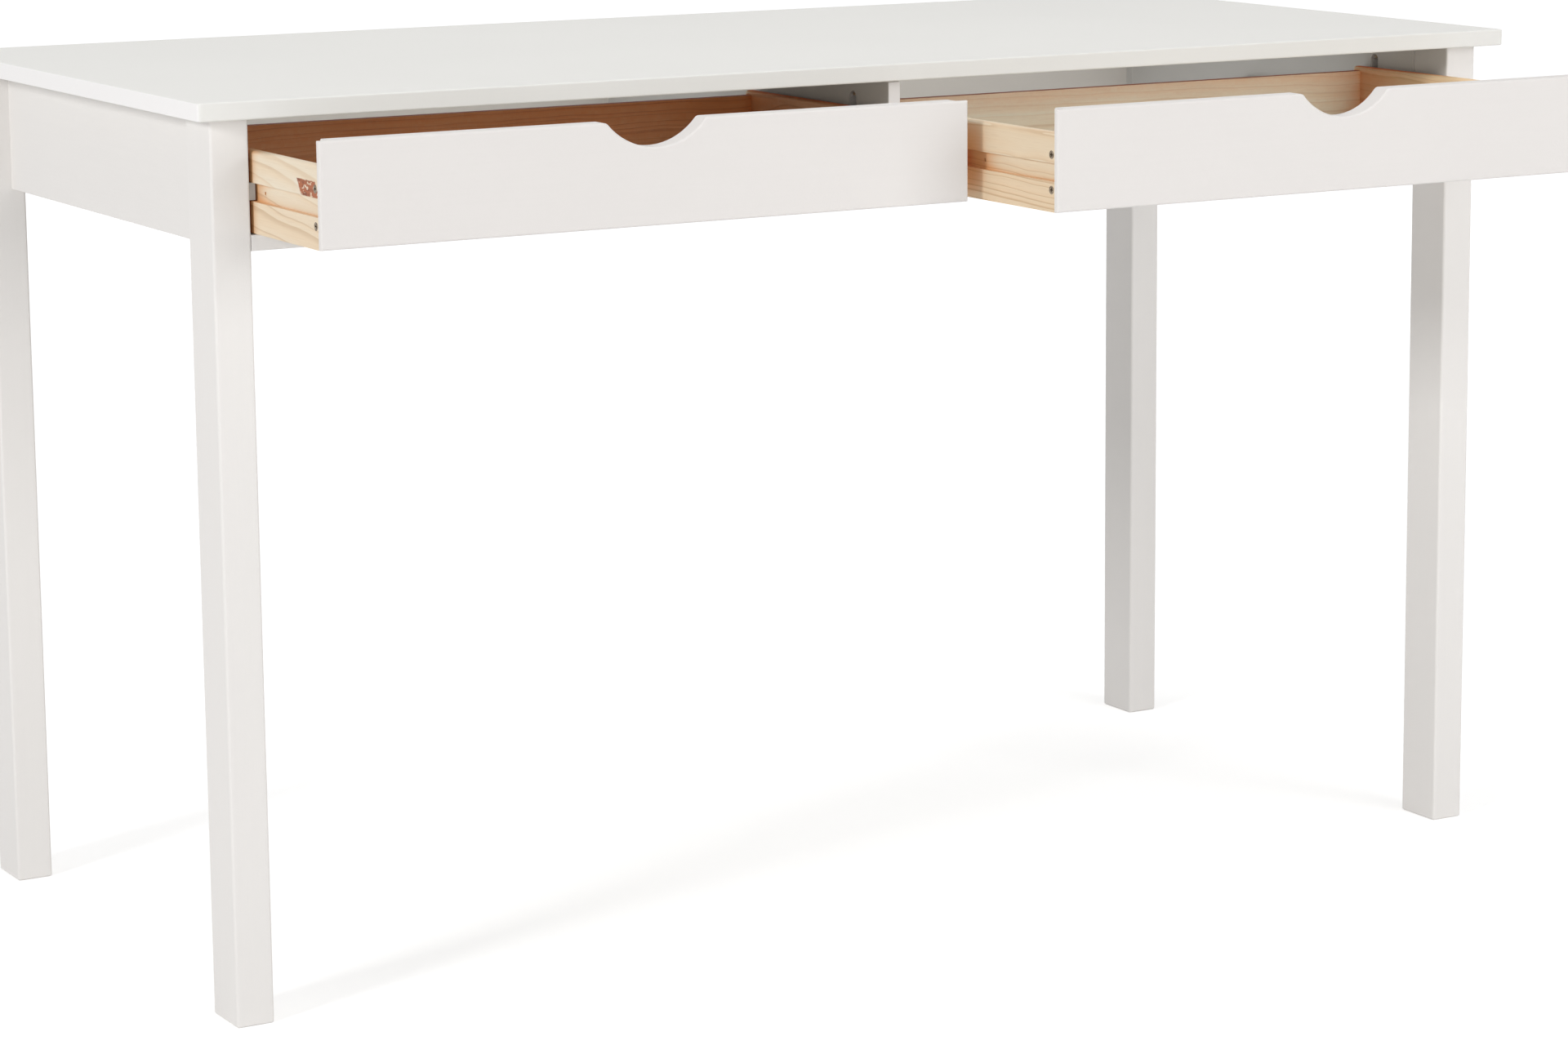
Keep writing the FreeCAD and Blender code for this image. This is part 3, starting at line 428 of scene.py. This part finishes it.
def panel_group():
    """Pressed fibre panel: two sets of short fibres that cross at an angle, over a cloudy ground."""
    tree, given, made = new_group(
        "fibre_panel",
        (("Vector", "vector", ORIGIN), ("Ground", "colour", WHITE), ("Fibre", "colour", WHITE)), FINISH)
    sets = []
    for turn in PANEL_TURNS:
        turned = tree.add("ShaderNodeMapping", {"Vector": given["Vector"], "Rotation": (0, 0, turn)})
        sets.append(tree.streaks(turned.outputs[0], PANEL_FIBRES, 2.0, 0.6))
    threads = tree.math("MULTIPLY", *sets)
    cloud = tree.noise(given["Vector"], PANEL_CLOUDS, 4.0, 0.6)
    share = tree.math("ADD", tree.step(threads, 0.16, 0.36, 0.0, 0.6),
                      tree.step(cloud, 0.35, 0.7, 0.0, 0.3))
    tree.feed(made["Color"], tree.mix(share, given["Ground"], given["Fibre"]))
    tree.feed(made["Roughness"], tree.step(threads, 0.1, 0.4, 0.55, 0.7))
    tree.feed(made["Height"], threads)
    return tree.tree


def metal_group():
    """Plated metal: a tint that clouds over from bright to dull, and fine scratches along X."""
    tree, given, made = new_group(
        "plated_metal",
        (("Vector", "vector", ORIGIN), ("Bright", "colour", WHITE), ("Dull", "colour", WHITE)), FINISH)
    cloud = tree.noise(given["Vector"], METAL_CLOUDS, 3.0, 0.6)
    scratch = tree.streaks(given["Vector"], METAL_SCRATCHES)
    tree.feed(made["Color"], tree.mix(tree.step(cloud, 0.35, 0.7), given["Bright"], given["Dull"]))
    tree.feed(made["Roughness"], tree.math("ADD", tree.step(cloud, 0.3, 0.7, 0.28, 0.46),
                                           tree.step(scratch, 0.4, 0.7, -0.04, 0.08)))
    tree.feed(made["Height"], scratch)
    return tree.tree


MAKERS = {"edge": edge_group, "paint": paint_group, "pine": pine_group, "spike": spike_group,
          "panel": panel_group, "metal": metal_group}
GROUPS = {}


def group(name):
    """Shared node group, built the first time it is asked for."""
    if name not in GROUPS:
        GROUPS[name] = MAKERS[name]()
    return GROUPS[name]


# Turns that bring a pattern's X along the grain
TURNS = {"X": (0.0, 0.0, 0.0), "Y": (0.0, 0.0, -math.pi / 2), "Z": (0.0, math.pi / 2, 0.0)}


def new_tree(owner):
    """Empty node tree of a new material or world."""
    owner.use_nodes = True
    owner.node_tree.nodes.clear()
    return Tree(owner.node_tree)


def new_finish(name, kind, grain, inputs, depth, metallic=0.0, place=(0.0, 0.0, 0.0)):
    """Material with one finish group, whose X is turned along the grain, feeding a Principled shader."""
    material = bpy.data.materials.new(name)
    tree = new_tree(material)
    spot = tree.add("ShaderNodeTexCoord").outputs["Object"]
    turned = tree.add("ShaderNodeMapping", {"Vector": spot, "Location": place, "Rotation": TURNS[grain]})
    inputs = {"Vector": turned.outputs[0], **inputs}
    finish = tree.add("ShaderNodeGroup", inputs, node_tree=group(kind))
    bump = tree.add("ShaderNodeBump", {"Height": finish.outputs["Height"], "Distance": depth,
                                       "Strength": 1.0})
    shader = tree.add("ShaderNodeBsdfPrincipled", {
        "Base Color": finish.outputs["Color"], "Roughness": finish.outputs["Roughness"],
        "Metallic": metallic, "Normal": bump.outputs["Normal"]})
    tree.add("ShaderNodeOutputMaterial", {"Surface": shader.outputs["BSDF"]})
    return material, tree, finish, shader


def dress(material, names):
    """Gives the material to CAD nodes by name."""
    for name in names:
        for slot in NODES[name].material_slots:
            slot.material = material


# How squarely a face has to look a way: none of a painted tone of light or shade, or of the painted shade
# on a back's top edge, at the first share, all of it at the second
PAINTED_TONE_FACING = (0.6, 0.9)
SHADED_TOP_FACING = (0.5, 0.9)


def paint(name, tint, grain, painted_tones=()):
    """Paint with its thin places on the arrises. A painted tone of light or shade is the way a face looks,
    its own colour and the height above the floor where it begins."""
    settings = bpy.context.scene.desk_paint
    inputs = {"Tint": tuple(tint), "Base Roughness": settings.roughness}
    material, tree, finish, shader = new_finish(name, "paint", grain, inputs, settings.stipple)
    spot = tree.add("ShaderNodeTexCoord").outputs["Object"]
    rub = tree.add("ShaderNodeGroup", {"Vector": spot}, node_tree=group("edge"))
    worn = tree.math("MULTIPLY", rub.outputs["Mask"], settings.rub)
    colour = tree.mix(worn, finish.outputs["Color"], tuple(settings.bare))
    for way, painted_tone, low in painted_tones:
        above = tree.math("GREATER_THAN", tree.parts(spot)["Z"], low)
        share = tree.math("MULTIPLY", tree.facing(way, *PAINTED_TONE_FACING), above)
        ratio = tuple(a / b for a, b in zip(painted_tone, tint))
        colour = tree.mix(share, colour, tree.multiplied(colour, ratio))
    tree.feed(shader.inputs["Base Color"], colour)
    shader.inputs["Specular IOR Level"].default_value = settings.gloss
    return material


# Painted shade where other surfaces close the wood in: how near they count, in metres, and the open shares
# that the shade fades between
NOOK_SHADE_REACH = 0.5
NOOK_SHADE_OPEN = (0.03, 0.11)
GAP_SHADE_REACH = 0.04
GAP_SHADE_OPEN = (0.2, 0.7)


def paint_shut_in_shade(tree, colour, tone, reach, open_shares):
    """Multiplies the colour by a tone where other surfaces close it in within reach: painted shade inside
    the desk, in its corners and narrow spaces."""
    seen = tree.add("ShaderNodeAmbientOcclusion", {"Distance": reach}, samples=64).outputs["AO"]
    painted_shade_share = tree.step(seen, *open_shares, 1.0, 0.0)
    return tree.mix(painted_shade_share, colour, tree.multiplied(colour, tone))


def soften_bounce(tree, shader, colour):
    """Feeds the colour to the shader, paler for rays that carry its light on to other surfaces."""
    pine = bpy.context.scene.desk_pine
    carried = tree.add("ShaderNodeLightPath").outputs["Is Diffuse Ray"]
    thrown = tree.math("MULTIPLY", carried, pine.throw)
    tree.feed(shader.inputs["Base Color"], tree.mix(thrown, colour, tuple(pine.bounce)))


class DESK_OT_paint_carcass(bpy.types.Operator):
    """Paint the top, legs, aprons, rails, divider and runners"""

    bl_idname = "desk.paint_carcass"
    bl_label = "Paint carcass"

    def execute(self, context):
        settings = context.scene.desk_paint
        body, ends, inner_painted_shade = settings.body, settings.ends, settings.inner_painted_shade
        rail_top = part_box("front_rail")[1].z
        # Painted light on the left and right ends of the top.
        dress(paint("top_paint", settings.top, "X", [(LEFT, ends, 0), (RIGHT, ends, 0)]), ["table_top"])
        for side, inward in (("left", RIGHT), ("right", LEFT)):
            legs = [f"{row}_{side}_leg" for row in ("front", "rear")]
            # Painted shade: the inward faces of the legs above the front rail, and of the aprons, are made
            # grey.
            dress(paint(f"{side}_leg_paint", body, "Z", [(inward, inner_painted_shade, rail_top)]), legs)
            dress(paint(f"{side}_apron_paint", body, "Y", [(inward, inner_painted_shade, 0)]), [f"{side}_apron"])
        dress(paint("front_rail_paint", body, "X"), ["front_rail"])
        # Painted shade on the back rail's face towards the front.
        dress(paint("back_rail_paint", body, "X", [(FRONT, settings.thin, 0)]), ["back_rail"])
        # Painted shade on the divider's two sides and painted light on its front edge.
        painted_tones = [(LEFT, inner_painted_shade, 0), (RIGHT, inner_painted_shade, 0), (FRONT, ends, 0)]
        dress(paint("divider_paint", body, "Y", painted_tones), ["centre_divider"])
        # The runners are made grey all over: painted shade.
        runners = [f"{side}_{board}_runner" for side in ("left", "right") for board in ("apron", "divider")]
        dress(paint("runner_paint", inner_painted_shade, "Y"), runners)
        return {"FINISHED"}


class DESK_OT_paint_fronts(bpy.types.Operator):
    """Paint the drawer fronts"""

    bl_idname = "desk.paint_fronts"
    bl_label = "Paint drawer fronts"

    def execute(self, context):
        fronts = [f"{drawer}_front" for drawer in DRAWERS]
        # The fronts' darker paint is painted shade.
        dress(paint("front_paint", context.scene.desk_paint.front, "X"), fronts)
        return {"FINISHED"}


# A board's own cut of the log: its tint, the pith's place, the lean of the grain, ring widths against
# the common one, waver of the rings, how dark the late lines are, a knot's place and size, and a spike
# knot. Places are from the board's middle: along the grain, through the board and up. The tints of the
# right drawer's right side and back are partly painted shade and light.
Board = namedtuple("Board", "tint pith lean rings waver line knot knot_size spike", defaults=(None,))

SKIN_SPIKE = {"Place": (-0.1615, 0.005, 0.01375), "Size": (0.0185, 0.002, 0.0066), "Slant": -0.23}

BOARDS = {
    "left_drawer_left_side": Board(
        tint=(0.97, 0.98, 1.0), pith=(0, -0.03, -0.11), lean=0.12, rings=2.0, waver=0.009, line=0.4,
        knot=(0.12, 0, -0.02), knot_size=0.004, spike=SKIN_SPIKE),
    "left_drawer_right_side": Board(
        tint=(1.0, 0.93, 0.85), pith=(0, 0.035, 0.01), lean=-0.03, rings=1.0, waver=0.008, line=0.6,
        knot=(0.06, 0, -0.012), knot_size=0.006),
    "left_drawer_back": Board(
        tint=(1.0, 0.93, 0.84), pith=(0, 0.02, -0.20), lean=0.01, rings=0.9, waver=0.006, line=0.6,
        knot=(-0.21, 0, -0.016), knot_size=0.005),
    "right_drawer_left_side": Board(
        tint=(0.91, 0.87, 0.82), pith=(0, -0.028, 0.02), lean=0.02, rings=0.75, waver=0.0042, line=0.5,
        knot=(0.12, 0, 0.012), knot_size=0.005),
    # Painted shade: this board's tint is partly made more orange to stand in for the shade on its inner
    # face.
    "right_drawer_right_side": Board(
        tint=(1.0, 0.86, 0.70), pith=(0, 0.040, -0.03), lean=0.04, rings=1.1, waver=0.006, line=0.4,
        knot=(-0.02, 0, -0.014), knot_size=0.0055),
    # Painted light: this board's tint is partly made paler than the others to stand in for the light inside
    # the open drawer.
    "right_drawer_back": Board(
        tint=(1.13, 1.17, 1.22), pith=(0, 0.02, -0.22), lean=-0.01, rings=1.5, waver=0.005, line=0.3,
        knot=(-0.24, 0, -0.008), knot_size=0.005),
}

# No wood reflects more of the light than this
PALEST_WOOD = 0.95


def pine_board(name, board):
    """Pine of one board, cut from the log as the board says."""
    pine = bpy.context.scene.desk_pine
    low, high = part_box(name)
    grain = "X" if name.endswith("back") else "Y"
    middle = Matrix.Rotation(TURNS[grain][2], 3, "Z") @ ((low + high) / 2)
    inputs = {"Pith": board.pith, "Lean": board.lean, "Ring": pine.ring * board.rings,
              "Waver": board.waver, "Line": board.line, "Heart": tuple(pine.knot),
              "Knot": board.knot, "Knot Size": board.knot_size}
    for key, tone in (("Early", pine.early), ("Mid", pine.mid), ("Late", pine.late)):
        inputs[key] = tuple(min(a * b, PALEST_WOOD) for a, b in zip(tone, board.tint))
    material, tree, finish, shader = new_finish(f"pine_{name}", "pine", grain, inputs, pine.relief,
                                                place=tuple(-middle))
    colour = finish.outputs["Color"]
    if board.spike:
        place = finish.inputs["Vector"].links[0].from_socket
        inputs = {"Vector": place, "Color": colour, "Heart": tuple(pine.knot), **board.spike}
        colour = tree.add("ShaderNodeGroup", inputs, node_tree=group("spike")).outputs["Color"]
    # Painted shade on the upward face of a back's top edge.
    if grain == "X":
        upper = tree.facing(UP, *SHADED_TOP_FACING)
        colour = tree.mix(upper, colour, tree.multiplied(colour, tuple(pine.sawn)))
    # Painted shade: darker far inside the desk, warmer in narrow spaces and corners.
    colour = paint_shut_in_shade(tree, colour, tuple(pine.nook_shade), NOOK_SHADE_REACH, NOOK_SHADE_OPEN)
    colour = paint_shut_in_shade(tree, colour, tuple(pine.gap), GAP_SHADE_REACH, GAP_SHADE_OPEN)
    soften_bounce(tree, shader, colour)
    return material


class DESK_OT_saw_boards(bpy.types.Operator):
    """Give the drawer sides and backs their pine, each board its own cut"""

    bl_idname = "desk.saw_boards"
    bl_label = "Saw pine boards"

    def execute(self, context):
        for name, board in BOARDS.items():
            dress(pine_board(name, board), [name])
        return {"FINISHED"}


class DESK_OT_panel_bottoms(bpy.types.Operator):
    """Give the drawer bottoms their pressed fibre"""

    bl_idname = "desk.panel_bottoms"
    bl_label = "Panel drawer bottoms"

    def execute(self, context):
        look = context.scene.desk_fittings
        inputs = {"Ground": tuple(look.panel_ground), "Fibre": tuple(look.panel_fibre)}
        material, tree, finish, shader = new_finish("bottom_panel", "panel", "X", inputs,
                                                    look.panel_relief)
        soften_bounce(tree, shader, finish.outputs["Color"])
        dress(material, [f"{drawer}_bottom" for drawer in DRAWERS])
        return {"FINISHED"}


class DESK_OT_plate_fasteners(bpy.types.Operator):
    """Give screws, nails, bolts and cams their metal and the dowels their beech"""

    bl_idname = "desk.plate_fasteners"
    bl_label = "Plate fasteners"

    def execute(self, context):
        look = context.scene.desk_fittings
        screws = ["cam_bolts", "top_screws", "runner_screws", "divider_screws"]
        for drawer in DRAWERS:
            screws += [f"{drawer}_{part}" for part in ("front_screws", "back_screws", "bottom_nails")]
        zinc = {"Bright": tuple(look.zinc_bright), "Dull": tuple(look.zinc_dull)}
        dress(new_finish("zinc_plate", "metal", "X", zinc, look.zinc_relief, metallic=1.0)[0], screws)
        cast = {"Bright": tuple(look.cast_bright), "Dull": tuple(look.cast_dull)}
        dress(new_finish("cast_zinc", "metal", "Z", cast, look.cast_relief, metallic=1.0)[0], ["cam_discs"])
        beech = {"Pith": (0, 0.03, 0), "Ring": look.beech_ring, "Early": tuple(look.beech_early),
                 "Mid": tuple(look.beech_mid), "Late": tuple(look.beech_late),
                 "Heart": tuple(look.beech_heart)}
        dress(new_finish("beech", "pine", "X", beech, look.beech_relief)[0], ["rail_dowels"])
        return {"FINISHED"}


def grid_mesh(name, points):
    """Mesh of a grid of points, whose rows and columns are joined into quads in order."""
    rows, columns = points.shape[:2]
    index = np.arange(rows * columns).reshape(rows, columns)
    quads = np.stack((index[:-1, :-1], index[1:, :-1], index[1:, 1:], index[:-1, 1:]), axis=-1)
    mesh = bpy.data.meshes.new(name)
    mesh.from_pydata(points.reshape(-1, 3).tolist(), [], quads.reshape(-1, 4).tolist())
    mesh.polygons.foreach_set("use_smooth", np.ones(len(mesh.polygons), bool))
    return mesh


def seen_rays(tree):
    """One for rays whose light is looked at: from the camera, off gloss or through glass."""
    path = tree.add("ShaderNodeLightPath").outputs
    looked = tree.math("MAXIMUM", path["Is Camera Ray"], path["Is Glossy Ray"])
    return tree.math("MAXIMUM", looked, path["Is Transmission Ray"])


# The floor's reach in metres and its cells, and how its glow rises from near the desk to far away
FLOOR_X = (-14, 14)
FLOOR_Y = (-8, 24)
FLOOR_CELL = 2
GLOW_REACH = (1.2, 5.0)
GLOW = (0.42, 0.7)


def add_floor(scene, colour):
    """Level floor: a grid whose height is 0 all over. It glows towards white for rays that look at it,
    and keeps the desk's shadow."""
    across, along = (np.arange(low, high + FLOOR_CELL, FLOOR_CELL) for low, high in (FLOOR_X, FLOOR_Y))
    x, y = np.meshgrid(across, along)
    floor = bpy.data.objects.new("floor", grid_mesh("floor", np.stack((x, y, 0 * y), -1)))
    scene.collection.objects.link(floor)
    material = bpy.data.materials.new("studio_floor")
    tree = new_tree(material)
    matte = tree.add("ShaderNodeBsdfDiffuse", {"Color": colour})
    spot = tree.add("ShaderNodeTexCoord").outputs["Object"]
    glow = tree.step(tree.vector("LENGTH", spot), *GLOW_REACH, *GLOW)
    lift = tree.add("ShaderNodeEmission", {"Color": WHITE,
                                           "Strength": tree.math("MULTIPLY", seen_rays(tree), glow)})
    both = tree.add("ShaderNodeAddShader", {0: matte.outputs[0], 1: lift.outputs[0]})
    tree.add("ShaderNodeOutputMaterial", {"Surface": both.outputs[0]})
    floor.data.materials.append(material)


def add_sky(scene, light):
    """Even light from all round, which is white where it is looked at."""
    world = bpy.data.worlds.new("studio")
    tree = new_tree(world)
    strength = tree.math("MULTIPLY_ADD", seen_rays(tree), 1.0 - light, light)
    sky = tree.add("ShaderNodeBackground", {"Color": WHITE, "Strength": strength})
    tree.add("ShaderNodeOutputWorld", {"Surface": sky.outputs[0]})
    scene.world = world


# Place, target and width of each square lamp, in metres
LAMPS = {
    "key": ((-5.727, -2.045, 2.554), (-0.4, 0, 0.7), 1.0),
    "fill": ((1.8, -4.0, 1.72), (0, -0.3, 0.7), 1.9),
    "ahead": ((0.3, -6.0, 1.6), (0.1, -0.3, 0.7), 1.0),
    "overhead": ((0, 0, 3.5), (0, 0, 0), 2.5),
}


def add_lamp(scene, name, power):
    """Square area lamp turned to its target."""
    place, target, width = LAMPS[name]
    lamp = bpy.data.lights.new(f"{name}_lamp", "AREA")
    lamp.shape = "SQUARE"
    lamp.size = width
    lamp.energy = power
    holder = bpy.data.objects.new(lamp.name, lamp)
    scene.collection.objects.link(holder)
    holder.visible_camera = False
    holder.location = place
    holder.rotation_euler = (Vector(target) - Vector(place)).to_track_quat("-Z", "Y").to_euler()


# The photograph's viewpoint: its place in metres, its turns in degrees, its shift in frame widths and
# how far it sees in metres
VIEW_PLACE = (-1.9154, -3.3351, 1.0803)
VIEW_YAW = 30.917
VIEW_PITCH = 9.834
VIEW_ROLL = -0.280
VIEW_SHIFT = -0.06
VIEW_END = 60


def add_camera(scene, lens):
    """Camera at the photograph's viewpoint: the yaw turns it to the right from +Y, the pitch lowers it
    and the roll turns it about its own axis."""
    yaw, pitch, roll = (math.radians(turn) for turn in (VIEW_YAW, VIEW_PITCH, VIEW_ROLL))
    ahead = Vector((math.sin(yaw) * math.cos(pitch), math.cos(yaw) * math.cos(pitch), -math.sin(pitch)))
    level = Vector((math.cos(yaw), -math.sin(yaw), 0))
    upright = level.cross(ahead)
    right = level * math.cos(roll) + upright * math.sin(roll)
    up = upright * math.cos(roll) - level * math.sin(roll)
    camera = bpy.data.cameras.new("camera")
    camera.sensor_fit = "HORIZONTAL"
    camera.lens = lens
    camera.shift_x = VIEW_SHIFT
    camera.shift_y = VIEW_SHIFT
    camera.clip_end = VIEW_END
    holder = bpy.data.objects.new("camera", camera)
    scene.collection.objects.link(holder)
    turn = Matrix((right, up, -ahead)).transposed().to_4x4()
    holder.matrix_world = Matrix.Translation(VIEW_PLACE) @ turn
    scene.camera = holder


class DESK_OT_set_stage(bpy.types.Operator):
    """Set the floor, the light and the camera"""

    bl_idname = "desk.set_stage"
    bl_label = "Set stage"

    def execute(self, context):
        scene = context.scene
        stage = scene.desk_stage
        scene.view_settings.view_transform = "Standard"
        add_floor(scene, tuple(stage.floor))
        add_sky(scene, stage.sky)
        for name in LAMPS:
            add_lamp(scene, name, getattr(stage, name))
        add_camera(scene, stage.lens)
        return {"FINISHED"}


OPERATORS = (DESK_OT_paint_carcass, DESK_OT_paint_fronts, DESK_OT_saw_boards, DESK_OT_panel_bottoms,
             DESK_OT_plate_fasteners, DESK_OT_set_stage)
SETTINGS = {"desk_paint": DeskPaint, "desk_pine": DeskPine, "desk_fittings": DeskFittings,
            "desk_stage": DeskStage}


class DESK_PT_finishes(bpy.types.Panel):
    """Finishes and stage of the desk"""

    bl_idname = "DESK_PT_finishes"
    bl_label = "Desk"
    bl_space_type = "VIEW_3D"
    bl_region_type = "UI"
    bl_category = "Desk"

    def draw(self, context):
        for settings, kind in SETTINGS.items():
            box = self.layout.box()
            holder = getattr(context.scene, settings)
            for name in kind.__annotations__:
                box.prop(holder, name)
        for operator in OPERATORS:
            self.layout.operator(operator.bl_idname)


CLASSES = (*SETTINGS.values(), *OPERATORS, DESK_PT_finishes)


def register():
    for kind in CLASSES:
        bpy.utils.register_class(kind)
    for name, kind in SETTINGS.items():
        setattr(bpy.types.Scene, name, PointerProperty(type=kind))


def unregister():
    for name in SETTINGS:
        delattr(bpy.types.Scene, name)
    for kind in reversed(CLASSES):
        bpy.utils.unregister_class(kind)


def main():
    register()
    for operator in OPERATORS:
        family, action = operator.bl_idname.split(".")
        getattr(getattr(bpy.ops, family), action)()


if __name__ == "__main__":
    main()
